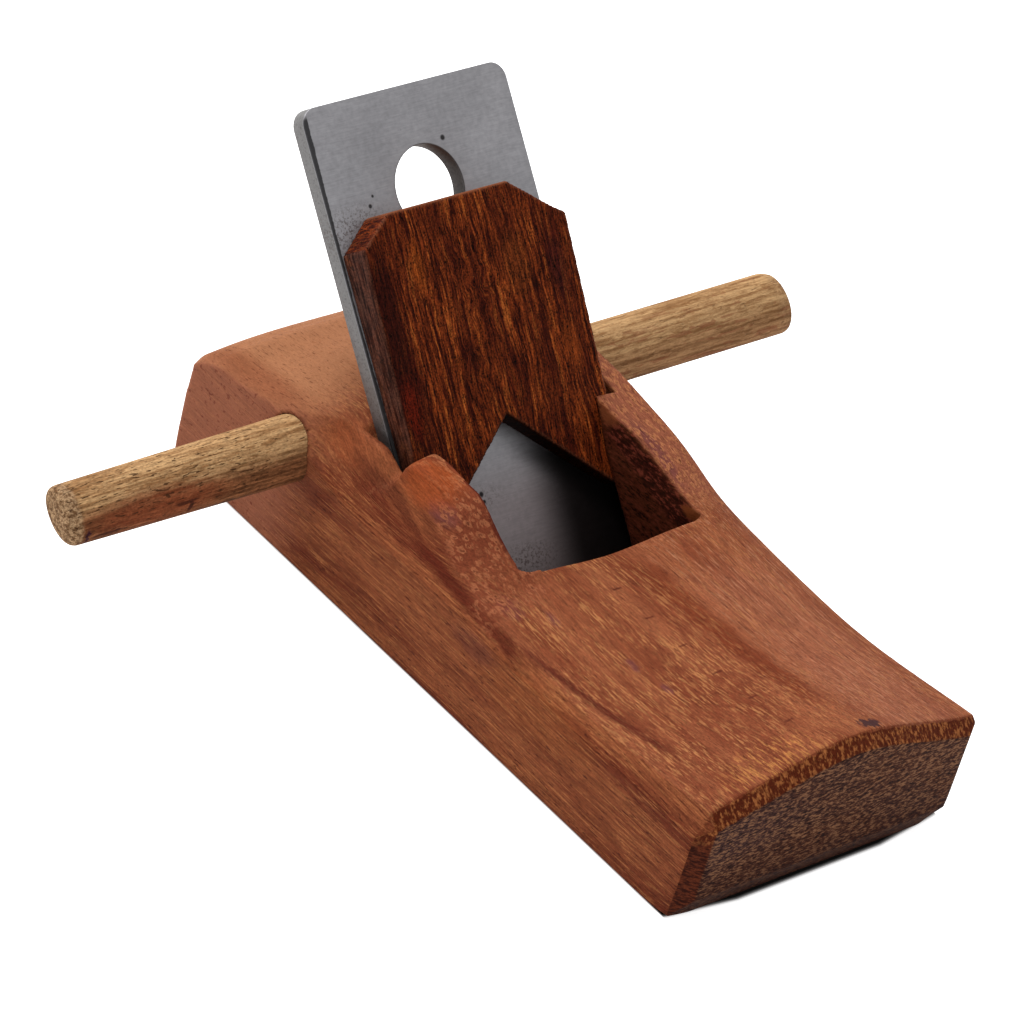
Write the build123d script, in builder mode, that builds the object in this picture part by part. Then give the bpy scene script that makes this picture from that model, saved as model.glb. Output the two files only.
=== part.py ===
# Short wooden hand plane: a shaped hardwood body, a steel iron, a notched wedge and a cross handle.
# Millimetres. The sole lies on Z = 0, +X runs towards the toe and +Z is up. The origin is the
# middle of the plane's footprint, halfway between the toe and the rearmost point of the iron.
# Left (-Y) and right (+Y) are as seen by someone who faces the toe end.

import os
from math import cos, radians, sin, tan

from build123d import *

# ---- the body -------------------------------------------------------------------------------
body_width = 62.0
toe_length = 66.3              # cutting edge to the toe end
heel_length = 65.3             # cutting edge to the heel end
toe_height = 28.2              # heights of the middle of the top, from the toe to the heel
waist_height = 22.6
deck_height = 21.3
saddle_height = 27.6           # between the cheeks, where the throat is cut away
crown_height = 29.4
rump_height = 28.4
heel_height = 21.8
toe_flank = 24.7               # heights of the top level with the inner faces of the cheeks
waist_flank = 21.3
deck_flank = 22.8
left_cheek_height = 28.5       # the left cheek is a little fuller than the right one
right_cheek_height = 26.6
crown_flank = 28.6
rump_flank = 27.2
heel_flank = 21.9
left_toe_arris = 21.9          # heights of the long edges of the top
left_waist_arris = 19.5
left_deck_arris = 21.0
left_cheek_arris = 27.5
left_crown_arris = 27.0
right_toe_arris = 22.3
right_waist_arris = 18.8
right_deck_arris = 20.2
right_cheek_arris = 25.8
right_crown_arris = 28.2
rump_arris = 24.6
heel_arris = 21.0
left_toe_shoulder = 2.2        # width of the sloping shoulders outside those edges
left_cheek_shoulder = 6.0
right_toe_shoulder = 1.5       # the right shoulder is cut less deep
right_cheek_shoulder = 3.0
heel_shoulder = 1.8
left_toe_side = 17.2           # heights where the shoulders meet the flat sides
left_waist_side = 16.4
right_toe_side = 20.0
right_waist_side = 17.2
right_deck_side = 18.4
cheek_side_height = 17.8
rump_side_height = 23.4
heel_side_height = 19.4
waist_from_toe = 33.0
rump_behind_bore = 4.0         # the deep shoulders start this far behind the handle's axis
toe_end_chamfer = 2.5
right_corner_chamfer = 3.7     # across the toe end, where the right corner is cut deeper
toe_sole_chamfer = 5.2         # height of that chamfer above the sole
heel_end_radius = 4.5
heel_corner_radius = 2.0
heel_foot = 2.0                # the heel end leans out by this much above the sole
heel_lean_height = 17.0
sole_edge_chamfer = 0.6

# ---- the iron -------------------------------------------------------------------------------
bed_angle = 46.0               # the iron's slope above the sole
iron_width = 44.0
iron_length = 92.7
iron_thickness = 3.0
iron_corner_radius = 3.0
iron_hole_diameter = 14.4
iron_hole_from_top = 17.3      # top end to the hole's centre
bevel_angle = 28.0
edge_above_sole = 0.2          # the edge is drawn back this much when the plane is put away

# ---- the wedge ------------------------------------------------------------------------------
wedge_width = 43.0
wedge_top = 73.4               # cutting edge to the wedge's top, along the iron
wedge_root_thickness = 1.7     # the wedge's thickness, carried down to the cutting edge
wedge_taper = 3.4              # degrees
wedge_left_clip = (5.0, 6.5)   # clipped top corners: height, width
wedge_right_clip = (7.5, 10.5)
notch_apex = 36.6              # cutting edge to the point of the notch between the legs
notch_radius = 1.5
notch_slope = 40.0             # degrees, of each side of the notch from square across
wedge_leg_end = 20.5           # cutting edge to the ends of the legs, along the iron

# ---- the throat -----------------------------------------------------------------------------
mouth_opening = 2.4            # ahead of the cutting edge, at the sole
throat_lean = 7.8              # degrees that the front wall leans towards the toe
throat_width = 36.0            # between the abutments, at their tops
throat_splay = 4.5             # degrees that each inner cheek opens out towards the toe
throat_flare = 8.0             # degrees that each inner cheek opens out upwards, near its top
throat_flare_height = 20.5
throat_corner_radius = 2.0
slot_side_clearance = 2.0      # each side of the iron

# ---- the handle -----------------------------------------------------------------------------
handle_width = 11.2            # the handle is an oval bar, its wide way along the iron's slope
handle_depth = 8.0
handle_length = 160.0
handle_height = 19.2           # axis above the sole
handle_end_radius = 1.8
handle_clearance = 0.05        # all round, in the bore
bore_wall = 7.5                # wood between the bed and the bore

# ---- places worked out from those sizes -----------------------------------------------------
slope = radians(bed_angle)
taper = radians(wedge_taper)
half_width = body_width / 2
half_slot = iron_width / 2 + slot_side_clearance
half_throat = throat_width / 2
edge_along = edge_above_sole / sin(slope)
iron_reach = (edge_along + iron_length) * cos(slope) + iron_thickness * sin(slope)
edge_x = (max(iron_reach, heel_length) - toe_length) / 2
toe_x = edge_x + toe_length
heel_x = edge_x - heel_length
deck_x = edge_x + mouth_opening + deck_height * tan(radians(throat_lean))
abutment_x = edge_x - crown_height / tan(slope) + wedge_root_thickness / sin(slope)
cheek_x = (deck_x + abutment_x) / 2
slot_x = edge_x - (crown_height / tan(slope) + iron_thickness / sin(slope))
half_handle_width = handle_width / 2
half_handle_depth = handle_depth / 2
half_bore_width = half_handle_width + handle_clearance
half_bore_depth = half_handle_depth + handle_clearance
bed_run = (iron_thickness + bore_wall + half_bore_depth) / sin(slope)
handle_x = edge_x - handle_height / tan(slope) - bed_run
body_length = toe_length + heel_length
headroom = 10.0
well_height = crown_height + headroom
spare = 5.0
sections = 22
heel_sections = 3
slot_end = well_height / sin(slope)
waist_x = toe_x - waist_from_toe
rump_x = handle_x - rump_behind_bore

# The iron's front face meets the sole at the cutting edge. On face_plane the first axis runs up
# the iron. On side_plane the first axis is the same and the second stands off the front face.
up_iron = (-cos(slope), 0, sin(slope))
off_iron = (sin(slope), 0, cos(slope))
face_plane = Plane(origin=(edge_x, 0, 0), x_dir=up_iron, z_dir=off_iron)
side_plane = Plane(origin=(edge_x, 0, 0), x_dir=up_iron, z_dir=(0, 1, 0))


def wedge_depth(along):
    """The wedge's thickness at a distance up the iron from the cutting edge."""
    return wedge_root_thickness + along * tan(taper)


def follow(heights, x):
    """The height at x on a smooth curve through one height at each station, with no overshoot."""
    runs = [b - a for a, b in zip(stations, stations[1:])]
    falls = [(b - a) / run for a, b, run in zip(heights, heights[1:], runs)]
    slopes = [falls[0]]
    for before, after in zip(falls, falls[1:]):
        same_way = before * after > 0
        slopes.append(2 * before * after / (before + after) if same_way else 0.0)
    slopes.append(falls[-1])
    span = max(i for i, station in enumerate(stations[:-1]) if i == 0 or x >= station)
    run = runs[span]
    t = (x - stations[span]) / run
    start = heights[span] * (1 - t) ** 2 * (1 + 2 * t) + slopes[span] * run * t * (1 - t) ** 2
    end = heights[span + 1] * t**2 * (3 - 2 * t) - slopes[span + 1] * run * t**2 * (1 - t)
    return start + end


def body_section(x, lowered=0.0):
    """One cross-section of the body: shaped top, sloping shoulders, and spare wood outside."""
    left = follow(left_arris_heights, x) - lowered
    left_flank = follow(left_flank_heights, x) - lowered
    middle = follow(middle_heights, x) - lowered
    right_flank = follow(right_flank_heights, x) - lowered
    right = follow(right_arris_heights, x) - lowered
    left_side = follow(left_side_heights, x) - lowered
    right_side = follow(right_side_heights, x) - lowered
    left_shoulder = follow(left_shoulder_widths, x)
    right_shoulder = follow(right_shoulder_widths, x)
    left_deck = half_width - left_shoulder
    right_deck = half_width - right_shoulder
    left_fall = (left - left_side) * (1 + spare / left_shoulder)
    right_fall = (right - right_side) * (1 + spare / right_shoulder)
    with BuildSketch(Plane.YZ.offset(x)) as section:
        with BuildLine():
            Spline(
                (-left_deck, left),
                (-half_throat, left_flank),
                (0, middle),
                (half_throat, right_flank),
                (right_deck, right),
            )
            Polyline(
                (right_deck, right),
                (half_width + spare, right - right_fall),
                (half_width + spare, -well_height),
                (-half_width - spare, -well_height),
                (-half_width - spare, left - left_fall),
                (-left_deck, left),
            )
        make_face()
    return section.sketch


def throat_section(z, opened=0.0):
    """The throat at one height: a straight front wall, and cheeks that open towards it."""
    front = edge_x + mouth_opening + z * tan(radians(throat_lean))
    back = edge_x - z / tan(slope)
    splay = tan(radians(throat_splay))
    front_side = half_throat + opened + (front - abutment_x) * splay
    back_side = half_throat + opened + (back - abutment_x) * splay
    with BuildSketch(Plane.XY.offset(z)) as section:
        with BuildLine():
            Polyline(
                (front, -front_side),
                (back, -back_side),
                (back, back_side),
                (front, front_side),
                close=True,
            )
        make_face()
        fillet(section.vertices().group_by(Axis.X)[-1], throat_corner_radius)
    return section.sketch


# ---- body: one block, shaped on top, with the throat and the handle's bore -------------------
stations = [heel_x, rump_x, slot_x, cheek_x, deck_x, waist_x, toe_x]
middle_heights = [heel_height, rump_height, crown_height, saddle_height]
middle_heights += [deck_height, waist_height, toe_height]
back_flanks = [heel_flank, rump_flank, crown_flank]
front_flanks = [deck_flank, waist_flank, toe_flank]
left_flank_heights = back_flanks + [left_cheek_height] + front_flanks
right_flank_heights = back_flanks + [right_cheek_height] + front_flanks
left_arris_heights = [heel_arris, rump_arris, left_crown_arris, left_cheek_arris]
left_arris_heights += [left_deck_arris, left_waist_arris, left_toe_arris]
right_arris_heights = [heel_arris, rump_arris, right_crown_arris, right_cheek_arris]
right_arris_heights += [right_deck_arris, right_waist_arris, right_toe_arris]
back_sides = [heel_side_height, rump_side_height] + 2 * [cheek_side_height]
left_side_heights = back_sides + [cheek_side_height, left_waist_side, left_toe_side]
right_side_heights = back_sides + [right_deck_side, right_waist_side, right_toe_side]
back_shoulders = 2 * [heel_shoulder]
left_shoulder_widths = back_shoulders + 2 * [left_cheek_shoulder] + 3 * [left_toe_shoulder]
right_shoulder_widths = back_shoulders + 2 * [right_cheek_shoulder] + 3 * [right_toe_shoulder]
top_start = heel_x + heel_end_radius
top_run = body_length - heel_end_radius - toe_end_chamfer
heel_turns = [radians(90 * i / heel_sections) for i in range(heel_sections + 1)]
with BuildPart() as body:
    # The shaped top, with the round over the heel end and the chamfer over the toe end.
    heel_rounds = [
        body_section(heel_x + heel_end_radius * (1 - cos(turn)), heel_end_radius * (1 - sin(turn)))
        for turn in heel_turns
    ]
    loft(sections=heel_rounds)
    loft(sections=[body_section(top_start + top_run * i / sections) for i in range(sections + 1)])
    toe_bevel = [body_section(toe_x - toe_end_chamfer), body_section(toe_x, toe_end_chamfer)]
    loft(sections=toe_bevel, ruled=True)

    # The block's sides and ends.
    with BuildSketch(Plane.XY) as plan:
        with BuildLine():
            Polyline(
                (heel_x, -half_width),
                (toe_x - toe_end_chamfer, -half_width),
                (toe_x, toe_end_chamfer - half_width),
                (toe_x, half_width - right_corner_chamfer),
                (toe_x - toe_end_chamfer, half_width),
                (heel_x, half_width),
                close=True,
            )
        make_face()
        fillet(plan.vertices().group_by(Axis.X)[0], heel_corner_radius)
    extrude(amount=well_height, mode=Mode.INTERSECT)
    with BuildSketch(Plane.XZ):
        with BuildLine():
            Polyline(
                (heel_x + heel_foot, 0),
                (toe_x - toe_end_chamfer, 0),
                (toe_x, toe_sole_chamfer),
                (toe_x, well_height),
                (heel_x, well_height),
                (heel_x, heel_lean_height),
                close=True,
            )
        make_face()
    extrude(amount=half_width, both=True, mode=Mode.INTERSECT)
    sole_edges = body.edges().group_by(Axis.Z)[0].filter_by(Axis.X)
    chamfer(sole_edges, sole_edge_chamfer)

    # The slot for the iron and the wedge, from the bed forwards to the abutments.
    with BuildSketch(side_plane):
        with BuildLine():
            Polyline(
                (-slot_end, -iron_thickness),
                (slot_end, -iron_thickness),
                (slot_end, wedge_depth(slot_end)),
                (-slot_end, wedge_depth(-slot_end)),
                close=True,
            )
        make_face()
    extrude(amount=half_slot, both=True, mode=Mode.SUBTRACT)

    # The throat in front of it, between the cheeks, with its leaning front wall.
    throat = [throat_section(-spare), throat_section(well_height)]
    loft(sections=throat, ruled=True, mode=Mode.SUBTRACT)
    flared = (well_height - throat_flare_height) * tan(radians(throat_flare))
    flare = [throat_section(throat_flare_height), throat_section(well_height, flared)]
    loft(sections=flare, ruled=True, mode=Mode.SUBTRACT)

    # The bore for the handle.
    with BuildSketch(Plane.XZ):
        with Locations((handle_x, handle_height)):
            Ellipse(half_bore_width, half_bore_depth, rotation=-bed_angle)
    extrude(amount=half_width + spare, both=True, mode=Mode.SUBTRACT)
body.part.label = "body"

# ---- iron: a flat steel plate with a punched hole, round top corners and one ground bevel -----
iron_end = edge_along + iron_length
bevel_length = iron_thickness / tan(radians(bevel_angle))
with BuildPart() as iron:
    with BuildSketch(face_plane) as plate:
        with Locations(((edge_along + iron_end) / 2, 0)):
            Rectangle(iron_length, iron_width)
        fillet(plate.vertices().group_by(Axis.Z)[-1], iron_corner_radius)
        with Locations((iron_end - iron_hole_from_top, 0)):
            Circle(iron_hole_diameter / 2, mode=Mode.SUBTRACT)
    extrude(amount=-iron_thickness)
    with BuildSketch(side_plane):
        with BuildLine():
            Polyline(
                (edge_along, 0),
                (edge_along + bevel_length, -iron_thickness),
                (edge_along, -iron_thickness),
                close=True,
            )
        make_face()
    extrude(amount=iron_width / 2, both=True, mode=Mode.SUBTRACT)
iron.part.label = "iron"

# ---- wedge: hardwood, tapered, with clipped top corners and two legs either side of a notch ---
half_wedge = wedge_width / 2
notch_spread = (notch_apex - wedge_leg_end) / tan(radians(notch_slope))
with BuildPart() as wedge:
    with BuildSketch(side_plane):
        with BuildLine():
            Polyline(
                (wedge_leg_end, 0),
                (wedge_top, 0),
                (wedge_top, wedge_depth(wedge_top)),
                (wedge_leg_end, wedge_depth(wedge_leg_end)),
                close=True,
            )
        make_face()
    extrude(amount=half_wedge, both=True)
    with BuildSketch(face_plane) as wedge_outline:
        with BuildLine():
            Polyline(
                (wedge_leg_end, half_wedge),
                (wedge_top - wedge_left_clip[0], half_wedge),
                (wedge_top, half_wedge - wedge_left_clip[1]),
                (wedge_top, wedge_right_clip[1] - half_wedge),
                (wedge_top - wedge_right_clip[0], -half_wedge),
                (wedge_leg_end, -half_wedge),
                (wedge_leg_end, -notch_spread),
                (notch_apex, 0),
                (wedge_leg_end, notch_spread),
                close=True,
            )
        make_face()
        apex = wedge_outline.vertices().sort_by_distance(face_plane.from_local_coords((notch_apex, 0, 0)))
        fillet(apex[0], notch_radius)
    extrude(amount=wedge_depth(wedge_top), mode=Mode.INTERSECT)
wedge.part.label = "wedge"

# ---- handle: an oval hardwood bar pushed through the body -------------------------------------
with BuildPart() as handle:
    with BuildSketch(Plane.XZ):
        with Locations((handle_x, handle_height)):
            Ellipse(half_handle_width, half_handle_depth, rotation=-bed_angle)
    extrude(amount=handle_length / 2, both=True)
    fillet(handle.edges().filter_by(GeomType.ELLIPSE), handle_end_radius)
handle.part.label = "handle"

os.makedirs("parts", exist_ok=True)
export_step(body.part, "parts/body.step")
export_step(iron.part, "parts/iron.step")
export_step(wedge.part, "parts/wedge.step")
export_step(handle.part, "parts/handle.step")
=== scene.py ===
import math

import bpy
import numpy as np
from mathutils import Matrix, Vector


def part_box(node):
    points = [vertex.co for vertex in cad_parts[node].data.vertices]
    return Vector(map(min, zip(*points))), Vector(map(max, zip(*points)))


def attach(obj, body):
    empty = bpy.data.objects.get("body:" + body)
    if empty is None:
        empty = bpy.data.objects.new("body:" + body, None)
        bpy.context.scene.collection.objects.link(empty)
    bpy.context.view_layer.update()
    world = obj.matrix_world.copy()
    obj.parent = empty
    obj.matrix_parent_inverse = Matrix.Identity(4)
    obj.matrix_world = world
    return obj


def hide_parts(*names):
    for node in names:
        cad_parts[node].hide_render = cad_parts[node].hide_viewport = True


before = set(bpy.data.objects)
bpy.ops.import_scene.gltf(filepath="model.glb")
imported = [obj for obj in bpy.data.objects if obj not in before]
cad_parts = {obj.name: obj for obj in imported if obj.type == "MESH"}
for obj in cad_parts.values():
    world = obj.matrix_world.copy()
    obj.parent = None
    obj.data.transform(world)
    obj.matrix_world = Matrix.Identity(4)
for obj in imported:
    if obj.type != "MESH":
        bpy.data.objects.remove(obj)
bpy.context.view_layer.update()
scene = bpy.context.scene
scene.view_settings.view_transform = "Standard"

# ---------------------------------------------------------------- camera
# A long lens well back from the work, looking down on the toe end from its
# left. It is the place of someone who has just put the plane on the table.
eye = Vector((0.53060, -0.66515, 0.61692))
eye_turn = [math.radians(angle) for angle in (53.7636, -14.0557, 49.5652)]
bpy.ops.object.camera_add(location=eye, rotation=eye_turn)
camera = bpy.context.object
camera.name = "camera"
camera.data.lens = 228.0
camera.data.sensor_width = 36.0
camera.data.clip_start = 0.01
scene.camera = camera


# ---------------------------------------------------------------- table
# A sheet of matt white card on a light table, so hardly any shadow falls past the edge
# of the block; the dark line of contact right at its foot is a painted shadow on the
# card. It is a backdrop and no part of the plane.
room_brightness = 1.33


def paint(red, green, blue):
    """A colour matched, 0 to 255, under lights a third over daylight."""
    mixed = []
    for share in (red / 255, green / 255, blue / 255):
        seen = share / 12.92 if share <= 0.04045 else ((share + 0.055) / 1.055) ** 2.4
        mixed.append(seen / room_brightness)
    return (*mixed, 1.0)


class Wire:
    """One socket of a finish's nodes. Sums and products of wires add Math nodes."""

    def __init__(self, socket):
        self.socket = socket
        self.tree = socket.id_data

    def add(self, kind, settings, sockets, output=0):
        """Adds any node: first its settings, then the values or wires it takes."""
        node = self.tree.nodes.new("ShaderNode" + kind)
        for name, value in settings.items():
            setattr(node, name, value)
        for name, value in sockets.items():
            if isinstance(value, Wire):
                self.tree.links.new(value.socket, node.inputs[name])
            else:
                node.inputs[name].default_value = value
        return Wire(node.outputs[output])

    def sum_of(self, operation, first, second=0.0):
        """One Math node on two values or wires."""
        return self.add("Math", {"operation": operation}, {0: first, 1: second})

    def __add__(self, other):
        return self.sum_of("ADD", self, other)

    def __sub__(self, other):
        return self.sum_of("SUBTRACT", self, other)

    def __rsub__(self, other):
        return self.sum_of("SUBTRACT", other, self)

    def __mul__(self, other):
        return self.sum_of("MULTIPLY", self, other)

    __radd__ = __add__
    __rmul__ = __mul__

    def size(self):
        """The value without its sign."""
        return self.sum_of("ABSOLUTE", self)

    def least(self, other):
        """The smaller of two values."""
        return self.sum_of("MINIMUM", self, other)

    def most(self, other):
        """The larger of two values."""
        return self.sum_of("MAXIMUM", self, other)

    def rise(self, low, high):
        """0 below low and 1 above high, with a soft step between them."""
        ends = {"Value": self, "From Min": low, "From Max": high}
        return self.add("MapRange", {"interpolation_type": "SMOOTHSTEP"}, ends)

    def over(self, below, above):
        """This wire as a mask between two colours."""
        return self.add("Mix", {"data_type": "RGBA"}, {0: self, 6: below, 7: above}, 2)

    def shade(self, colour):
        """The colour times this wire, which is 1 where nothing changes."""
        grey = self.add("CombineColor", {}, {0: self, 1: self, 2: self})
        mix = {"data_type": "RGBA", "blend_type": "MULTIPLY"}
        return self.add("Mix", mix, {0: 1.0, 6: colour, 7: grey}, 2)

    def stretch(self, size, shift):
        """The place over a size in mm along x, y and z, and then moved."""
        inverse = [1 / length for length in size]
        sockets = {0: self, 1: inverse, 2: shift}
        return self.add("VectorMath", {"operation": "MULTIPLY_ADD"}, sockets)

    def scatter(self, size, seed=0.0, detail=2.0, rough=0.5):
        """Soft random patches from 0 to 1, of a size in mm along x, y and z."""
        at = self.stretch(size, (seed, seed * 1.7, -seed))
        knobs = {"Vector": at, "Scale": 1.0, "Detail": detail, "Roughness": rough}
        return self.add("TexNoise", {}, knobs)

    def dots(self, size, seed=0.0):
        """Distance to the nearest of many scattered points, spaced by size in mm."""
        at = self.stretch(size, (seed, -seed, seed * 1.3))
        return self.add("TexVoronoi", {}, {"Vector": at, "Scale": 1.0})

    def parts(self):
        """The x, y and z of a place."""
        split = self.add("SeparateXYZ", {}, {0: self})
        return [Wire(split.socket.node.outputs[i]) for i in range(3)]

    def place(self, x, y, z):
        """A place made of three wires or values."""
        return self.add("CombineXYZ", {}, {0: x, 1: y, 2: z})

    def marked(self, name):
        """A value that was written on the mesh under that name."""
        settings = {"attribute_type": "GEOMETRY", "attribute_name": name}
        return self.add("Attribute", settings, {}, 2)

    def spot(self, centre, reach, edge=0.4):
        """1 inside an oval about a place in mm, 0 outside it, with a soft edge."""
        shift = [-place / length for place, length in zip(centre, reach)]
        away = self.stretch(reach, shift)
        far = away.add("VectorMath", {"operation": "LENGTH"}, {0: away}, 1)
        return 1 - far.rise(1 - edge, 1 + edge)

    def band(self, low, high, edge):
        """1 between two values of this wire, with an edge of its own on each side."""
        past = self.rise(high - edge, high + edge)
        return self.rise(low - edge, low + edge) * (1 - past)


def new_finish(name):
    """An empty material, its shader, and the places on a piece in mm."""
    finish = bpy.data.materials.new(name)
    finish.use_nodes = True
    shader = finish.node_tree.nodes["Principled BSDF"]
    start = Wire(shader.outputs[0])
    here = start.add("TexCoord", {}, {}, 3)
    here = here.add("VectorMath", {"operation": "SCALE"}, {0: here, "Scale": 1000.0})
    return finish, shader, here


def coat(shader, **wires):
    """Links wires to the shader's sockets; an underscore stands for a space."""
    for name, wire in wires.items():
        shader.id_data.links.new(wire.socket, shader.inputs[name.replace("_", " ")])


card, card_shader, at = new_finish("white_card")
card_fleck = at.scatter((3.0, 3.0, 3.0), seed=4.0)
card_white = card_fleck.over((0.88, 0.88, 0.88, 1.0), (0.91, 0.91, 0.91, 1.0))
card_shader.inputs["Roughness"].default_value = 0.9
card_shader.inputs["Specular IOR Level"].default_value = 0.1

# the painted contact shadow follows the block's foot, whose ends are a little rounded;
# clear_by is how far a place on the card lies outside it
foot_middle, foot_half_length, foot_half_width = 1.0, 63.0, 30.0
square_to, end_rounding, side_tightness = 16.0, 0.13, 2.2
card_x, card_y, _ = at.parts()
past_end = (card_x - foot_middle).size() - foot_half_length
past_end = past_end + (card_y.size() - square_to).most(0.0) * end_rounding
past_side = (card_y.size() - foot_half_width) * side_tightness
clear_by = past_end.most(past_side)

# the card glows fully for the eye, and only faintly on the plane above it
full_glow, no_glow = (1.0, 1.0, 1.0, 1.0), (0.0, 0.0, 0.0, 1.0)
faint_glow = (0.067, 0.067, 0.067, 1.0)
# painted shadow: near the block's foot the card's glow is cut and its white is painted
# near black
glow_colour = clear_by.rise(0.8, 1.6).over(no_glow, full_glow)
card_white = clear_by.rise(0.4, 1.5).over((0.01, 0.01, 0.01, 1.0), card_white)
coat(card_shader, Base_Color=card_white)
seen = at.add("LightPath", {}, {}, 0)
coat(card_shader, Emission_Color=seen.over(faint_glow, glow_colour))
card_shader.inputs["Emission Strength"].default_value = 0.75

bpy.ops.mesh.primitive_plane_add(size=8.0, location=(0.0, 0.0, 0.0))
table = bpy.context.object
table.name = "table_card"
table.data.materials.append(card)


# ---------------------------------------------------------------- light
# One broad soft box high up behind the heel, and the pale walls of the
# room all round, so that no shadow has a hard edge.
box_place = Vector((-0.75, -0.1, 0.85))
box_turn = (Vector((0.0, 0.0, 0.02)) - box_place).to_track_quat("-Z", "Y").to_euler()
bpy.ops.object.light_add(type="AREA", location=box_place, rotation=box_turn)
light = bpy.context.object
light.name = "overhead_box"
light.data.shape = "SQUARE"
light.data.size = 0.8
light.data.energy = 12.0
room = bpy.data.worlds.new("room")
room.use_nodes = True
room.node_tree.nodes["Background"].inputs["Color"].default_value = (1.0, 1.0, 1.0, 1.0)
room.node_tree.nodes["Background"].inputs["Strength"].default_value = 0.7
scene.world = room


# ---------------------------------------------------------------- body
# The stock: one block of red-brown hardwood, its fibres running from heel
# to toe. It is sawn, bored, chopped out for the iron, rounded over with a
# spokeshave and oiled, and years of hands have softened its arrises.
def work_on(piece):
    """Makes a piece the only one selected."""
    bpy.ops.object.select_all(action="DESELECT")
    piece.select_set(True)
    bpy.context.view_layer.objects.active = piece


def blank(node, name):
    """A new piece with the shape of a CAD node, its loose triangles joined."""
    piece = bpy.data.objects.new(name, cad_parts[node].data.copy())
    scene.collection.objects.link(piece)
    piece.data.materials.clear()
    for layer in list(piece.data.uv_layers):
        piece.data.uv_layers.remove(layer)
    work_on(piece)
    bpy.ops.object.mode_set(mode="EDIT")
    bpy.ops.mesh.select_all(action="SELECT")
    bpy.ops.mesh.remove_doubles(threshold=1e-6)
    bpy.ops.object.mode_set(mode="OBJECT")
    return piece


def shape(piece, kind, **settings):
    """Adds one modifier with its settings and applies it."""
    work_on(piece)
    tool = piece.modifiers.new(kind.lower(), kind)
    for name, value in settings.items():
        setattr(tool, name, value)
    bpy.ops.object.modifier_apply(modifier=tool.name)


def points_of(piece):
    """The points, normals and edges of a piece's mesh."""
    count = len(piece.data.vertices)
    spots = np.empty(count * 3)
    piece.data.vertices.foreach_get("co", spots)
    normals = np.empty(count * 3)
    piece.data.vertices.foreach_get("normal", normals)
    edges = np.empty(len(piece.data.edges) * 2, dtype=int)
    piece.data.edges.foreach_get("vertices", edges)
    return spots.reshape(-1, 3), normals.reshape(-1, 3), edges.reshape(-1, 2)


def spread(values, edges, rounds):
    """Each point's value evened out with its neighbours', round after round."""
    count = np.bincount(edges.ravel(), minlength=len(values))
    for _ in range(rounds):
        total = np.bincount(edges[:, 0], values[edges[:, 1]], len(values))
        total += np.bincount(edges[:, 1], values[edges[:, 0]], len(values))
        values = 0.5 * values + 0.5 * total / count
    return values


def mark(piece, name, values):
    """Writes a value for each point on the mesh, for its material to read."""
    layer = piece.data.attributes.new(name, "FLOAT", "POINT")
    layer.data.foreach_set("value", values.astype(np.float32))


def put_points(piece, spots):
    """Moves the points of a piece's mesh to new places."""
    piece.data.vertices.foreach_set("co", spots.ravel())
    piece.data.update()


def keep_inside(piece, node):
    """Holds a piece's points inside the box of its CAD node."""
    low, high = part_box(node)
    spots, _, _ = points_of(piece)
    put_points(piece, np.clip(spots, np.array(low), np.array(high)))


stock = blank("body", "stock")
shape(stock, "REMESH", mode="SHARP", octree_depth=8, scale=0.85, use_smooth_shade=True)
shape(stock, "SMOOTH", factor=0.5, iterations=1)


def step(values, low, high):
    """0 below low and 1 above high, with a soft step between them, for an array."""
    share = np.clip((values - low) / (high - low), 0.0, 1.0)
    return share * share * (3.0 - 2.0 * share)


# the left cheek was left a little fuller towards the toe, and its inner arris
# is straight; its lip stands this much above the right one's, in mm
lip_x = (-24.0, -21.5, -20.0, -18.0, -16.0, -12.0, -9.0, -5.0, 4.0, 7.0, 9.0)
lip_rise = (0.0, -2.2, -1.4, 0.8, 1.5, 1.8, 2.2, 1.8, 1.2, 0.6, 0.0)
lip_lean = 0.96
fuller_by = 1.0
spots, _, _ = points_of(stock)
px, py, pz = spots.T * 1000.0
near_lip = step(py, -29.5, -23.5) * (1.0 - step(py, -17.5, -15.0))
near_lip = near_lip * step(pz, 17.0, 24.0)
lift = np.interp(px, lip_x, lip_rise) * near_lip
lean = lip_lean * (1.0 - step(px, -9.0, -5.0))
inward = fuller_by * near_lip * step(px, -20.0, -13.0) * (1.0 - step(px, 8.0, 12.0))
px, py, pz = px - lift * lean, py + inward, pz + lift

# the two front corners of the throat are chopped square where the solid's
# are round, with the wall and the cheeks leaning as they do in the solid
corner_radius = 2.0
toe_wall = 2.62 + pz * math.tan(math.radians(7.8))
half_gap = 18.0 + (px + 25.8) * math.tan(math.radians(4.5))
half_gap += np.maximum(pz - 20.5, 0.0) * math.tan(math.radians(8.0))
past_wall = toe_wall - px
in_throat = (past_wall > -0.5) & (px > -45.0) & (pz > 0.8)
for side in (-1.0, 1.0):
    flare = half_gap - inward if side < 0.0 else half_gap
    past_cheek = flare - side * py
    in_throat &= past_cheek > -0.4
    to_wall, to_cheek = corner_radius - past_wall, corner_radius - past_cheek
    away = np.hypot(to_wall, to_cheek)
    squared = away / np.maximum(np.maximum(to_wall, to_cheek), 0.01) - 1.0
    quarter = step(np.minimum(to_wall, to_cheek), 0.0, 0.05)
    squared = 1.0 + squared * quarter * (1.0 - step(away, 2.3, 4.5))
    px = np.where(quarter > 0.0, toe_wall - corner_radius + to_wall * squared, px)
    square_y = side * (flare - corner_radius + to_cheek * squared)
    py = np.where(quarter > 0.0, square_y, py)

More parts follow.
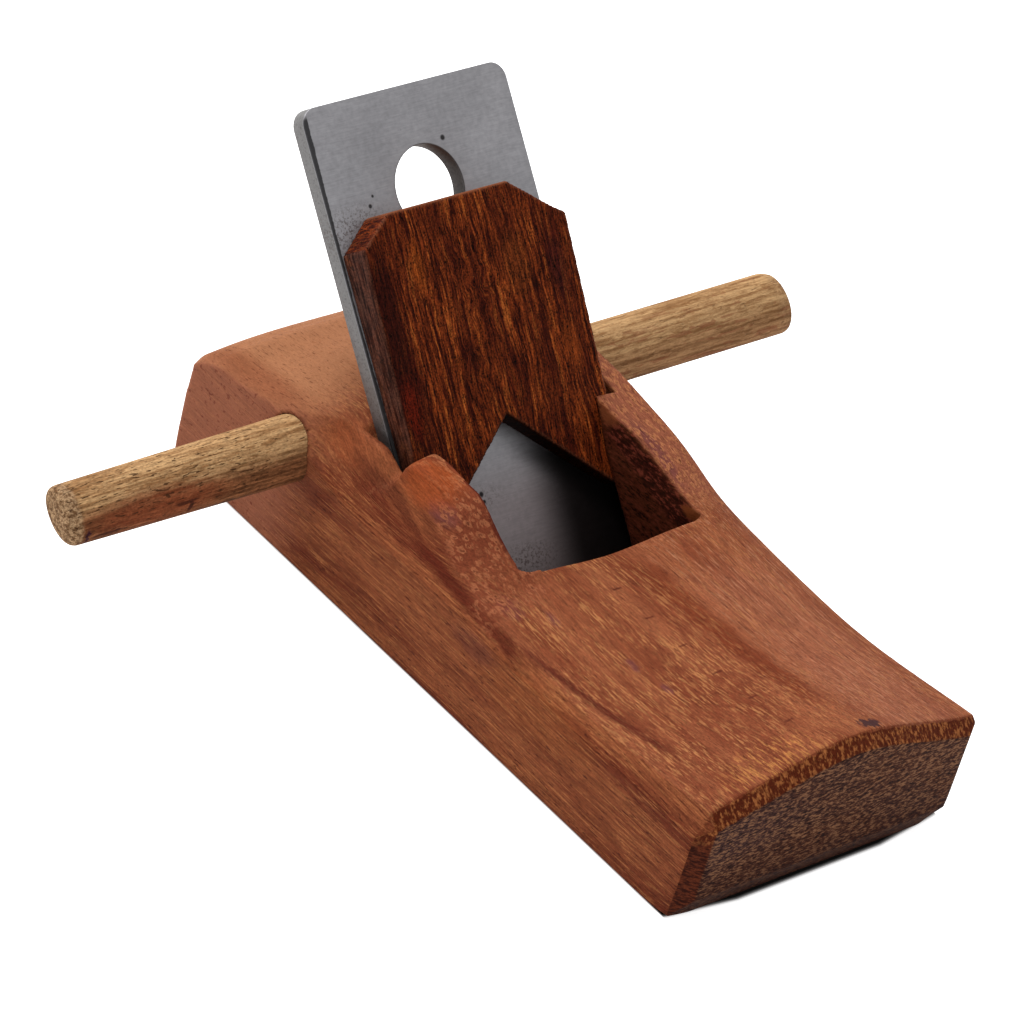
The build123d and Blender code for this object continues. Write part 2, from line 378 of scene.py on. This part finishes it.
# years of hands have worn the sole's corners at the toe, and round the handle
# the wood was left standing a little
corner_x, corner_y, wear_reach = 65.0, 31.0, 6.0
for side, wear in ((-1.0, 0.9), (1.0, 1.8)):
    from_corner = (px - corner_x) ** 2 + (py - side * corner_y) ** 2
    away = np.sqrt(from_corner + (pz * 0.6) ** 2)
    worn = wear * np.clip(1.0 - away / wear_reach, 0.0, 1.0) ** 1.5
    px, py, pz = px - worn * 0.7, py - worn * 0.7 * side, pz + worn * 0.35
boss_height, boss_reach = 1.6, 8.0
boss = np.exp(-(((px + 34.0) / boss_reach) ** 2) - ((pz - 18.0) / boss_reach) ** 2)
py = py - boss_height * boss * (1.0 - step(py, -28.0, -24.0))
put_points(stock, np.column_stack((px, py, pz)) / 1000.0)
keep_inside(stock, "body")

# marks for the finish: which way the wood faces, and the walls of the throat
spots, normals, edges = points_of(stock)
mark(stock, "toe_end", spread(normals[:, 0], edges, 1))
mark(stock, "flank", spread(np.abs(normals[:, 1]), edges, 1))
faces_in = (-np.sign(spots[:, 1]) * normals[:, 1] > 0.35) | (normals[:, 0] < -0.35)
walls = in_throat & (normals[:, 2] < 0.6) & faces_in
mark(stock, "throat", spread(walls.astype(float), edges, 2))

wood, shader, at = new_finish("red_hardwood")
x, y, z = at.parts()
toe_face = at.marked("toe_end")
flank = at.marked("flank")
throat = at.marked("throat")
sway = at.scatter((50.0, 18.0, 18.0), seed=3.0, detail=1.0) - 0.5
curl = x.band(-26.0, 2.0, 9.0) * z.rise(17.0, 25.0) * 4.0
run = at.place(x, y + sway * 3.0 + curl, z + sway * 2.0 + curl)
ragged = at.scatter((1.6, 0.7, 0.7), seed=51.0, detail=2.0) - 0.5
torn = at.place(x + ragged * 3.0, y + ragged * 1.6, z + ragged)
fibres = run.scatter((2.2, 0.2, 0.2), seed=2.0, detail=2.0, rough=0.6) - 0.5
grit = at.scatter((0.4, 0.24, 0.24), seed=57.0, detail=1.0) - 0.5
streaks = run.scatter((9.0, 0.7, 0.6), seed=29.0, detail=3.0, rough=0.6) - 0.5
tone = run.scatter((60.0, 6.0, 5.0), seed=15.0, detail=2.0)
patches = run.scatter((14.0, 4.5, 5.0), seed=21.0, detail=2.0)
to_left = 1 - y.rise(-8.0, 6.0)
on_heel = 1 - (x + ragged * 6.0 + y * 0.25).rise(-51.0, -36.0)
on_cheek = x.band(-31.0, 2.0, 3.0)

# the top: short tan flecks where the slicing meets the softer layers, a
# redder streak near the middle with a row of small ticks beside it
fleck_grain = run.scatter((2.6, 0.36, 0.8), seed=7.0, detail=2.0, rough=0.6)
fleck_share = patches.rise(0.34, 0.58) * (to_left * 0.5 + 0.5)
curly = torn.dots((1.7, 0.85, 1.0), seed=35.0) + ragged * 0.9
curly_patch = at.scatter((6.0, 4.0, 4.0), seed=38.0, detail=1.0).rise(0.26, 0.42)
curls = (1 - curly.rise(0.36, 0.52)) * curly_patch
curl_eyes = (1 - curly.rise(0.08, 0.2)) * curly_patch
flecks = on_cheek.over(fleck_grain.rise(0.5, 0.62) * fleck_share, curls) * (1 - on_heel)
pores = run.scatter((1.9, 0.26, 0.4), seed=31.0, detail=1.0).rise(0.64, 0.7) * 0.7
along = x * 0.77
scallop = along.add("Math", {"operation": "SINE"}, {0: along})
red_streak = (y + scallop * 0.5).band(0.9, 5.2, 0.8) * x.band(11.0, 53.0, 4.0)
first_tick, tick_gap = 14.6, 4.07
tick_at = x.sum_of("PINGPONG", x - first_tick, tick_gap)
ticks = (1 - (tick_at + ragged * 0.5).rise(0.1, 0.34)) * y.band(-6.3, -4.4, 0.3)
ticks = ticks * x.band(12.0, 57.0, 1.0)
top = tone.rise(0.34, 0.66).over(paint(134, 68, 42), paint(158, 90, 58))
top = (y.band(8.0, 26.0, 4.0) * x.rise(12.0, 24.0) * 0.6).over(top, paint(166, 100, 72))
top = (red_streak * 0.8).over(top, paint(126, 58, 32))
top = on_cheek.over(top, paint(134, 68, 44))
top = (on_cheek * y.rise(0.0, 10.0)).over(top, paint(158, 92, 66))
orange_lip = torn.spot((-11.0, -22.5, 30.0), (5.0, 3.0, 6.0))
top = (orange_lip * 0.7).over(top, paint(158, 80, 40))
top = on_heel.over(top, paint(180, 120, 83))
heel_edge = torn.spot((-50.0, -28.5, 23.0), (18.0, 3.2, 4.0), 0.6)
top = (heel_edge * 0.75).over(top, paint(148, 84, 54))
purple = torn.spot((16.5, -21.0, 24.0), (2.2, 0.9, 4.0))
for centre, reach in (
    ((31.0, -16.0, 23.0), (1.8, 0.8, 4.0)),
    ((38.0, -15.0, 23.0), (1.6, 0.7, 4.0)),
    ((11.0, -25.5, 22.0), (2.6, 1.6, 4.0)),
    ((-7.0, 22.0, 26.0), (7.0, 1.2, 5.0)),
):
    purple = purple.most(torn.spot(centre, reach))
top = (purple * 0.75).over(top, paint(124, 68, 64))
top = (flecks * 0.8).over(top, on_cheek.over(paint(196, 130, 80), paint(192, 122, 80)))
top = (curl_eyes * on_cheek * 0.7).over(top, paint(96, 42, 28))
far = y.rise(3.0, 9.0) * (1 - on_cheek)
far_grain = run.scatter((5.0, 0.36, 0.5), seed=46.0, detail=2.0, rough=0.6)
top = (far * far_grain.rise(0.54, 0.66) * 0.5).over(top, paint(196, 134, 100))
top = (far * (1 - far_grain.rise(0.34, 0.44)) * 0.5).over(top, paint(118, 58, 42))
red_gaps = (1 - fleck_grain.rise(0.34, 0.44)) * (1 - far) * (1 - on_heel)
top = (red_gaps * 0.35).over(top, paint(108, 46, 28))
toe_gold = torn.spot((61.5, -15.0, 26.0), (4.5, 9.0, 6.0)) * fleck_grain.rise(0.5, 0.62)
top = (toe_gold * 0.6).over(top, paint(204, 132, 68))
top = (pores * 0.8).over(top, paint(92, 40, 24))
top = (ticks * 0.7).over(top, paint(96, 40, 26))
specks = at.scatter((0.8, 0.5, 0.6), seed=33.0, detail=2.0).rise(0.62, 0.7)
top = (specks * on_heel * 0.35).over(top, paint(140, 70, 44))

# the shoulders and sides: the same layers seen on edge, as long thin streaks,
# which sweep up from the handle's hole over the cheek, with a red valley below
line_grain = run.scatter((7.0, 0.6, 0.24), seed=5.0, detail=3.0, rough=0.7)
light_lines = line_grain.rise(0.53, 0.64)
dark_lines = 1 - line_grain.rise(0.36, 0.46)
side = tone.rise(0.36, 0.66).over(paint(116, 54, 34), paint(150, 84, 52))
golden_patch = torn.spot((27.0, -31.0, 14.0), (14.0, 2.0, 5.0), 0.6)
side = (golden_patch * 0.5).over(side, paint(150, 82, 44))
grey_patch = torn.spot((11.0, -31.0, 15.0), (5.0, 2.0, 2.2))
side = (grey_patch * 0.5).over(side, paint(104, 54, 46))
side = (light_lines * 0.65).over(side, paint(186, 118, 72))
side = (dark_lines * 0.6).over(side, paint(82, 34, 22))
side_pores = run.scatter((1.8, 0.6, 0.3), seed=41.0, detail=1.0).rise(0.64, 0.71)
side = (side_pores * 0.7).over(side, paint(72, 30, 20))
side = (on_heel * 0.75).over(side, paint(168, 106, 80))
heel_specks = at.scatter((0.9, 0.8, 0.6), seed=53.0, detail=2.0).rise(0.62, 0.7)
side = (heel_specks * on_heel * 0.6).over(side, paint(110, 48, 38))
past_valley = z - 20.65 + x * 0.088 + ragged * 1.2
near_hole = 1 - x.rise(-22.0, -14.0)
shoulder = x.band(-35.0, -7.0, 4.0) * (1 - (y - near_hole * 3.5).rise(-27.5, -24.0))
shoulder = shoulder * past_valley.rise(-1.2, 0.8)
sweep = at.place(x, y, z * 1.3 + x * 0.28)
sweep_grain = sweep.scatter((18.0, 2.4, 1.7), seed=44.0, detail=4.0, rough=0.65)
swept = sweep_grain.rise(0.4, 0.6).over(paint(88, 36, 21), paint(164, 92, 56))
swept = (y.rise(-31.0, -27.0) * 0.4).over(swept, paint(140, 78, 50))
heel_turn = torn.spot((-33.0, -28.0, 24.0), (6.0, 5.0, 5.0), 0.6)
swept = (heel_turn * 0.7).over(swept, paint(160, 84, 48))
red_line = (y + 30.3 - (x - 8.0) * 0.14 + ragged * 1.4).band(-0.8, 0.5, 0.5)
red_line = red_line * z.rise(17.6, 19.0) * x.band(19.0, 50.0, 5.0)
valley_length = x.band(-8.0, 20.0, 3.0) * 0.5 + x.band(-24.0, 20.0, 4.0) * 0.5
red_valley = past_valley.band(-1.1, 0.7, 0.6) * valley_length
red_line = red_line.most(red_valley * (1 - y.rise(-27.5, -26.0)))

# the end: cut across, dark and speckled with the pale layers round each pore
speckle = at.scatter((4.0, 1.0, 0.32), seed=9.0, detail=2.0, rough=0.6)
end_tone = at.scatter((20.0, 12.0, 8.0), seed=17.0, detail=2.0)
# painted shade: the end is painted darker towards the floor, with fewer pale specks
# there
painted_low_shade = 1 - z.rise(2.0, 13.0)
end = end_tone.rise(0.35, 0.65).over(paint(74, 42, 34), paint(82, 44, 30))
purple_end = torn.spot((65.0, -22.0, 17.0), (6.0, 13.0, 6.0), 0.6)
end = (purple_end * 0.6).over(end, paint(74, 50, 50))
end = (painted_low_shade * 0.8).over(end, paint(58, 24, 18))
pale_speckle = speckle.rise(0.46, 0.66) * (0.85 - painted_low_shade * 0.5)
end = pale_speckle.over(end, paint(160, 112, 80))
end = (1 - speckle.rise(0.32, 0.46)).over(end, paint(36, 18, 15))

# the bevels round the toe end cut the fibres aslant, in short fat strokes
stroke = at.scatter((1.2, 0.6, 0.9), seed=13.0, detail=2.0, rough=0.6)
low_bevel = 1 - z.rise(15.0, 19.0)
bevel = stroke.rise(0.46, 0.66).over(paint(94, 38, 18), paint(172, 104, 58))
dark_bevel = speckle.rise(0.38, 0.64).over(paint(56, 22, 14), paint(106, 50, 30))
bevel = low_bevel.over(bevel, dark_bevel)

# where each cut shows: the top and the sides, the cheek's curly lip, and the
# bevels and ends on top of them
at_end = toe_face.rise(0.8, 0.9)
at_bevel = toe_face.rise(0.42, 0.6) * x.rise(50.0, 54.0)
heel_end = (toe_face * -1.0).rise(0.72, 0.86)
at_side = flank.rise(0.7 - on_heel * 0.4, 0.85 + on_heel * 0.1)
base = at_side.over(top, side)
base = (shoulder * 0.85).over(base, swept)
base = (red_line * 0.8).over(base, paint(92, 32, 20))
curl_zone = x.band(-10.0, 12.0, 2.5) * (1 - y.rise(-19.0, -16.0))
curl_zone = curl_zone * (z + x * 0.35).rise(21.3, 23.3)
base = (curl_zone * 0.6).over(base, paint(130, 64, 42))
purple_lip = torn.spot((-8.0, -25.2, 26.5), (3.4, 1.8, 1.6))
base = (purple_lip * 0.55).over(base, paint(116, 66, 66))
base = (curl_zone * curls * 0.7).over(base, paint(174, 104, 70))
orange_horn = torn.spot((-13.5, -24.0, 28.5), (5.5, 4.0, 4.0))
base = (orange_horn * 0.65).over(base, paint(166, 78, 38))
base = (curl_zone * curl_eyes * 0.7).over(base, paint(92, 38, 26))
base = at_bevel.over(base, bevel)
toe_arris = toe_face.band(0.3, 0.5, 0.08) * z.rise(16.0, 19.0) * x.rise(50.0, 54.0)
base = (toe_arris * 0.5).over(base, paint(104, 40, 22))
base = at_end.most(heel_end * 0.9).over(base, end)
grain = fibres * 1.2 + grit * 0.7 + streaks * 0.7
grain = grain * (1 - on_heel * 0.5) * (1 - at_end * 0.6)
base = (grain + 1.0).shade(base)
knot = torn.spot((62.4, 5.5, 26.5), (1.2, 2.2, 2.4), 0.25)
base = (knot * 0.9).over(base, paint(62, 38, 42))

# the throat was never oiled: it is chopped rough, and its walls deep down are painted
# dark as shade, nearly black in the hollows of the chopping, with a painted highlight
# on a lit corner
chopped = at.scatter((1.6, 0.9, 0.6), seed=61.0, detail=3.0, rough=0.7)
inner = (z + ragged * 1.5 + x * 0.35).rise(17.5, 19.0)
throat_wood_and_shade = inner.over(paint(88, 40, 24), paint(58, 18, 14))
chips = chopped.rise(0.5, 0.62) * (0.4 + inner * 0.5)
throat_wood_and_shade = chips.over(throat_wood_and_shade, paint(140, 66, 50))
# painted shade: the hollows of the chopping are painted near black
throat_wood_and_shade = (1 - chopped.rise(0.38, 0.48)).over(throat_wood_and_shade, paint(26, 7, 6))
lit_corner = torn.spot((-19.0, 19.6, 27.0), (3.4, 2.5, 2.4), 0.4)
throat_wood_and_shade = (lit_corner * 0.8).over(throat_wood_and_shade, paint(156, 84, 50))
corner_chip = torn.spot((4.6, 20.4, 21.6), (2.4, 1.6, 1.1), 0.3)
throat_wood_and_shade = (corner_chip * 0.9).over(throat_wood_and_shade, paint(138, 72, 36))
base = (throat * 0.9).over(base, throat_wood_and_shade)
# painted shadow: a thin dark line along the left cheek's inner arris, at the throat
lip_shadow_line = throat.band(0.04, 0.9, 0.04) * (1 - y.rise(-16.0, -14.0))
lip_shadow_line = lip_shadow_line * x.band(-16.0, 3.0, 2.0)
base = (lip_shadow_line * 0.6).over(base, paint(84, 22, 16))
height = fibres * 0.4 + grit * 0.4 - pores * 0.6 + flecks * 0.2 + speckle * 0.4
height = height + chopped * throat * 1.5
bump = at.add("Bump", {}, {"Strength": 0.4, "Distance": 0.0002, "Height": height})
coat(shader, Base_Color=base, Roughness=0.66 - flecks * 0.08 - tone * 0.1, Normal=bump)
shader.inputs["Specular IOR Level"].default_value = 0.04
stock.data.materials.append(wood)
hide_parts("body")
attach(stock, "body")

# ---------------------------------------------------------------- iron
# The cutting iron: a flat blade of tool steel, forged, ground on both faces
# and hung by its hole. The bevel at its foot is ground from behind.
blade = blank("iron", "blade")
work_on(blade)
bpy.ops.object.mode_set(mode="EDIT")
bpy.ops.mesh.select_all(action="SELECT")
bpy.ops.mesh.dissolve_limited(angle_limit=math.radians(0.5))
bpy.ops.object.mode_set(mode="OBJECT")
easing = 0.00022
shape(blade, "BEVEL", width=easing, segments=2, limit_method="ANGLE")
bpy.ops.object.shade_smooth_by_angle(angle=math.radians(35))

# the steel's places are taken up the blade, across it and off its bed
steel, shader, at = new_finish("ground_steel")
x, y, z = at.parts()
bed = math.radians(46)
up_iron = z * math.sin(bed) - x * math.cos(bed)
off_iron = x * math.sin(bed) + z * math.cos(bed)
mottle = at.scatter((0.9, 0.9, 0.9), seed=1.0, detail=4.0)
cloud = at.scatter((9.0, 9.0, 9.0), seed=6.0, detail=3.0)
pit_far = at.dots((3.2, 3.2, 3.2), seed=2.0)
pits = (1 - pit_far.rise(0.05, 0.1)) * cloud.rise(0.54, 0.66)
on_blade = at.place(y, up_iron, 0.0)
for centre, reach in (
    ((5.3, 82.8), 0.45),
    ((-13.2, 75.0), 0.35),
    ((-12.2, 76.5), 0.25),
    ((-6.6, 24.9), 0.42),
    ((-6.4, 23.6), 0.3),
):
    pits = pits.most(on_blade.spot((*centre, 0.0), (reach, reach, 1.0), 0.4))
# painted shade: the blade is painted darker and warmer towards its foot, down in the
# throat
low_blade_shade = 1 - up_iron.rise(20.0, 34.0)
skin = cloud.over(paint(164, 163, 167), paint(190, 188, 192))
skin = (low_blade_shade * 0.75).over(skin, paint(152, 138, 138))
scratch = at.place(y, up_iron, off_iron).scatter((2.4, 0.22, 0.3), seed=18.0)
wide_skin = 1 - off_iron.rise(-0.4, -0.1)
skin = (wide_skin * 0.8).over(skin, paint(134, 132, 130))
skin = (mottle * 0.5 + scratch * 0.35 + 0.575).shade(skin)
edge_grain = at.scatter((0.5, 0.5, 0.5), seed=73.0, detail=3.0, rough=0.7)
edge_pits = wide_skin * (1 - edge_grain.rise(0.36, 0.48))
skin = (edge_pits * 0.5).over(skin, paint(92, 90, 88))
rust = on_blade.spot((-17.5, 72.0, 0.0), (6.0, 3.0, 1.0), 0.9)
rust = rust.most(on_blade.spot((-1.5, 12.0, 0.0), (6.0, 2.6, 1.0), 0.8))
rust = rust.most(on_blade.spot((-7.0, 24.0, 0.0), (4.0, 2.0, 1.0), 0.8) * 0.6)
rust_grain = at.scatter((0.5, 0.5, 0.5), seed=71.0, detail=3.0, rough=0.7)
skin = (rust * rust_grain.rise(0.5, 0.6) * 0.7).over(skin, paint(84, 68, 60))
skin = (pits * 0.85).over(skin, paint(30, 27, 26))

# the blade stands in the dark throat, which the soft light leaves too pale: its
# foot is painted dark on the right, and under the wedge's notch further down
foot_dark = (y + mottle * 2.0).rise(3.0, 13.0) * (1 - up_iron.rise(26.0, 36.0))
skin = (foot_dark * 0.93).over(skin, paint(20, 12, 12))
# painted shade: a dark line along the blade's left arris, wider at its top and low down
# where the wedge's edge shades it
half_width = 22.0
line_width = (up_iron - 60.0).size() * 0.02 + 0.25
left_arris_shade = (y + half_width - line_width + mottle * 0.4 - 0.2).rise(-0.08, 0.1)
left_arris_shade = (1 - left_arris_shade) * off_iron.rise(-0.25, -0.05)
left_arris_shade = left_arris_shade * (1 - up_iron.rise(91.0, 92.0))
skin = (left_arris_shade * 0.9).over(skin, paint(44, 43, 44))
notch_top, notch_slope = 36.5, 0.839
under_notch = notch_top - (y.size() + 0.6) * notch_slope - up_iron
notch_dark = under_notch.rise(-2.0, 0.4) * (1 - under_notch.rise(1.6, 6.5))
notch_dark = notch_dark * y.rise(-0.6, 2.5) * (1 - up_iron.rise(27.0, 33.4))
skin = (notch_dark * 0.75).over(skin, paint(18, 13, 13))
eye_up, eye_radius = 75.5, 7.32
eye_far = on_blade.spot((0.0, eye_up, 0.0), (eye_radius, eye_radius, 1.0), 0.015)
eye_wall = edge_grain.over(paint(26, 22, 22), paint(88, 80, 76))
skin = (eye_far * 0.9).over(skin, eye_wall)
relief = {"Strength": 0.3, "Distance": 0.00005, "Height": mottle - pits}
bump = at.add("Bump", {}, relief)
coat(shader, Base_Color=skin, Roughness=0.42 + mottle * 0.2 + pits * 0.3, Normal=bump)
shader.inputs["Metallic"].default_value = 0.85
blade.data.materials.append(steel)
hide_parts("iron")
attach(blade, "iron")

# ---------------------------------------------------------------- wedge
# The wedge: a thin board of darker, striped heartwood, planed to a slow
# taper, its top corners clipped and its foot notched for the shavings.
key = blank("wedge", "key")
shape(key, "REMESH", mode="VOXEL", voxel_size=0.00034, use_smooth_shade=True)
shape(key, "SMOOTH", factor=0.5, iterations=1)
keep_inside(key, "wedge")
right_flank_out = 0.00045
spots, _, _ = points_of(key)
spots[:, 1] += right_flank_out * step(spots[:, 1], 0.0195, 0.0212)
put_points(key, spots)

# marks for the finish: how far each place stands out as an arris, and the
# faces that look down the blade, at the foot and in the notch
arris_reach = 0.0004
spots, normals, edges = points_of(key)
soft = np.column_stack([spread(spots[:, i], edges, 12) for i in range(3)])
standing = ((spots - soft) * normals).sum(axis=1) / arris_reach
mark(key, "arris", np.clip(standing, 0.0, 1.0))
down_iron = normals[:, 0] * math.cos(bed) - normals[:, 2] * math.sin(bed)
mark(key, "foot", spread((down_iron > 0.3).astype(float), edges, 2))

heart, shader, at = new_finish("striped_heartwood")
x, y, z = at.parts()
across = y
up = z * math.sin(bed) - x * math.cos(bed)
off = x * math.sin(bed) + z * math.cos(bed)
flat = at.place(across, up, 0.0)
wave = flat.scatter((6.0, 14.0, 1.0), seed=12.0, detail=1.0) - 0.5
ripple = flat.scatter((1.6, 3.4, 1.0), seed=16.0, detail=2.0) - 0.5
swirl = flat.spot((-0.5, 58.6, 0.0), (4.0, 5.5, 1.0), 0.7)
swirl = swirl.most(flat.spot((-3.6, 46.5, 0.0), (2.6, 4.5, 1.0), 0.7) * 0.8)
slant = up * 1.1 + across * 0.5
crest = slant.add("Math", {"operation": "SINE"}, {0: slant})
moved = across + wave * 2.2 + ripple * (0.5 + swirl * 2.4) + swirl * crest * 0.35
grain_at = at.place(moved, up, off)
stripes = grain_at.scatter((0.62, 11.0, 3.0), seed=4.0, detail=4.0, rough=0.7)
hair = grain_at.scatter((0.22, 1.8, 1.0), seed=8.0, detail=2.0, rough=0.65) - 0.5
crumb = at.scatter((0.3, 0.3, 0.3), seed=19.0, detail=2.0) - 0.5
broad = grain_at.scatter((4.0, 40.0, 6.0), seed=14.0, detail=1.0)
base = stripes.rise(0.38, 0.6).over(paint(50, 12, 5), paint(126, 54, 20))
base = (stripes.rise(0.56, 0.64) * 0.6).over(base, paint(168, 92, 38))
base = (broad.rise(0.44, 0.62) * 0.5).over(base, paint(66, 20, 9))
for centre, reach, share, colour in (
    ((-19.5, 52.0), (2.2, 19.0), 0.85, (40, 8, 5)),
    ((-16.8, 44.0), (1.2, 9.0), 0.5, (48, 8, 5)),
    ((-19.0, 41.5), (1.6, 4.5), 0.6, (104, 26, 8)),
    ((17.5, 57.5), (1.8, 5.0), 0.6, (44, 12, 14)),
    ((-11.4, 63.5), (1.4, 4.0), 0.4, (138, 66, 18)),
    ((9.0, 59.6), (2.6, 5.0), 0.3, (128, 64, 24)),
    ((17.0, 44.5), (2.0, 4.0), 0.45, (136, 62, 22)),
    ((-3.8, 46.8), (1.0, 2.6), 0.6, (44, 10, 6)),
):
    place = grain_at.spot((*centre, 0.0), (*reach, 1e4), 0.5)
    base = (place * share).over(base, paint(*colour))
base = (hair * 4.6 + crumb * 3.6 + 1.14).shade(base)
glints = at.scatter((0.4, 0.3, 0.4), seed=27.0, detail=2.0).rise(0.74, 0.8)
base = (glints * 0.6).over(base, paint(176, 112, 66))
left_side = 1 - (across + 21.5).rise(0.15, 0.5)
on_edge = at.place(off, up, 0.0)
side_streaks = on_edge.scatter((0.5, 6.0, 1.0), seed=52.0, detail=3.0, rough=0.65)
side_wood = side_streaks.rise(0.4, 0.6).over(paint(34, 20, 18), paint(98, 62, 50))
base = (left_side * 0.8).over(base, (crumb * 2.0 + 1.0).shade(side_wood))
top_end = up.rise(72.85, 73.15)
base = (top_end * 0.7).over(base, paint(150, 92, 62))
arris = at.marked("arris")
worn = (arris.rise(0.1, 0.5) + up.rise(72.4, 73.0) * 0.5) * (crumb * 3.0 + 0.7)
worn = worn.least(1.0) * (1 - (1 - across.rise(-21.0, -20.0)) * 0.8)
base = (worn * 0.7).over(base, paint(140, 80, 54))
in_the_dark = at.marked("foot")
base = (in_the_dark * 0.92).over(base, paint(16, 6, 4))
relief = {"Strength": 0.4, "Distance": 0.0002, "Height": hair + stripes * 0.6}
bump = at.add("Bump", {}, relief)
coat(shader, Base_Color=base, Roughness=0.5 + hair * 0.15, Normal=bump)
shader.inputs["Specular IOR Level"].default_value = 0.03
key.data.materials.append(heart)
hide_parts("wedge")
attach(key, "wedge")

# ---------------------------------------------------------------- handle
# The cross handle: a flattened bar of pale, open-pored wood, rounded by
# hand, its ends cut a little aslant and eased, and pushed through the hole.
rod = blank("handle", "rod")
shape(rod, "REMESH", mode="VOXEL", voxel_size=0.0004, use_smooth_shade=True)
shape(rod, "SMOOTH", factor=0.5, iterations=2)
rod_low, rod_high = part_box("handle")
rod_middle = (rod_low + rod_high) / 2
spots, _, _ = points_of(rod)

# the left end is slimmer and cut aslant; the right one is blunt at its foot
# and rounded at its top
left_slimming, left_shorter, left_slant = 0.09, 0.0007, 0.16
left_share = np.clip((-0.031 - spots[:, 1]) / 0.049, 0.0, 1.0)
slim = 1.0 - left_slimming * left_share
for i in (0, 2):
    spots[:, i] = rod_middle[i] + (spots[:, i] - rod_middle[i]) * slim
near_left = np.clip((-0.06 - spots[:, 1]) / 0.02, 0.0, 1.0)
cut = left_shorter + left_slant * (rod_middle[2] - spots[:, 2])
spots[:, 1] += near_left * cut
right_fuller, right_rounding = 0.0011, 0.16
near_right = step(spots[:, 1], 0.073, 0.0795)
spots[:, 1] += right_fuller * near_right
upper = np.maximum(spots[:, 2] - rod_middle[2], 0.0)
spots[:, 2] -= upper * right_rounding * step(spots[:, 1], 0.076, 0.0802) ** 2
put_points(rod, spots)
keep_inside(rod, "handle")

pale, shader, at = new_finish("pale_open_wood")
x, y, z = at.parts()
ragged = at.scatter((0.9, 2.4, 0.9), seed=21.0, detail=2.0) - 0.5
around = at.place(x + ragged * 0.8, y + ragged * 2.0, z + ragged * 0.8)
streaks = around.scatter((0.7, 14.0, 0.7), seed=4.0, detail=3.0, rough=0.65)
fine = around.scatter((0.24, 3.0, 0.24), seed=6.0, detail=2.0, rough=0.6) - 0.5
crumb = at.scatter((0.34, 0.5, 0.34), seed=9.0, detail=2.0) - 0.5
pore_grain = at.scatter((0.3, 1.7, 0.3), seed=31.0, detail=1.0)
left_part = 1 - y.rise(-48.0, -30.0)
pores = (pore_grain + left_part * 0.06).rise(0.7, 0.74)
base = streaks.rise(0.32, 0.68).over(paint(150, 106, 66), paint(216, 172, 122))
front_low = (x + 38.6).rise(-2.0, 1.4) * (1 - (z + ragged * 2.0).rise(19.8, 22.4))
on_right = y.rise(5.0, 20.0)
low_wood = streaks.rise(0.35, 0.65).over(paint(84, 44, 26), paint(150, 84, 50))
base = (front_low * (0.8 - on_right * 0.45)).over(base, low_wood)
long_wave = at.scatter((4.0, 9.0, 4.0), seed=23.0, detail=2.0) - 0.5
torn_lines = at.place(x + long_wave * 4.0, y, z + long_wave * 4.0)
torn_lines = torn_lines.scatter((1.0, 16.0, 0.9), seed=24.0, detail=2.0, rough=0.6)
below_top = 1 - (z - 21.8 + ragged).rise(0.0, 3.0) * 0.6
torn_lines = torn_lines.rise(0.56, 0.64) * on_right * below_top
base = (torn_lines * 0.6).over(base, paint(148, 90, 60))
redder = around.spot((-34.5, -62.0, 19.3), (4.0, 13.0, 2.8), 0.5)
base = (redder * 0.65).over(base, paint(140, 66, 40))
# painted shade: the underside of the bar is painted darker
under = 1 - z.rise(14.8, 17.0)
base = (under * 0.5).over(base, paint(104, 62, 38))
for centre, reach, colour in (
    ((-34.6, -76.0, 17.4), (1.6, 0.35, 1.5), (52, 22, 40)),
    ((-34.6, -72.0, 17.2), (1.5, 3.2, 0.35), (66, 30, 22)),
    ((-34.6, -55.0, 17.8), (1.5, 0.5, 1.2), (74, 34, 26)),
    ((-34.6, -56.0, 18.8), (1.5, 2.4, 0.3), (80, 38, 26)),
):
    base = (around.spot(centre, reach, 0.3) * 0.85).over(base, paint(*colour))
end_grain = (y.size() + ragged * 0.3).rise(76.6, 77.6) * (1 - y.rise(0.0, 10.0) * 0.8)
mottle = at.scatter((0.7, 0.7, 0.7), seed=15.0, detail=3.0, rough=0.65)
end_wood = mottle.rise(0.36, 0.64).over(paint(120, 86, 58), paint(200, 162, 122))
base = end_grain.over(base, end_wood)
calm = 1 - y.rise(0.0, 10.0) * 0.55
base = ((fine * 1.5 + crumb * 1.0) * calm + 1.02).shade(base)
base = (pores * calm * 0.85).over(base, paint(72, 44, 26))
height = fine * 0.6 + crumb * 0.5 - pores
bump = at.add("Bump", {}, {"Strength": 0.6, "Distance": 0.0003, "Height": height})
coat(shader, Base_Color=base, Roughness=0.72 - fine * 0.1, Normal=bump)
shader.inputs["Specular IOR Level"].default_value = 0.05
rod.data.materials.append(pale)
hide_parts("handle")
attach(rod, "handle")
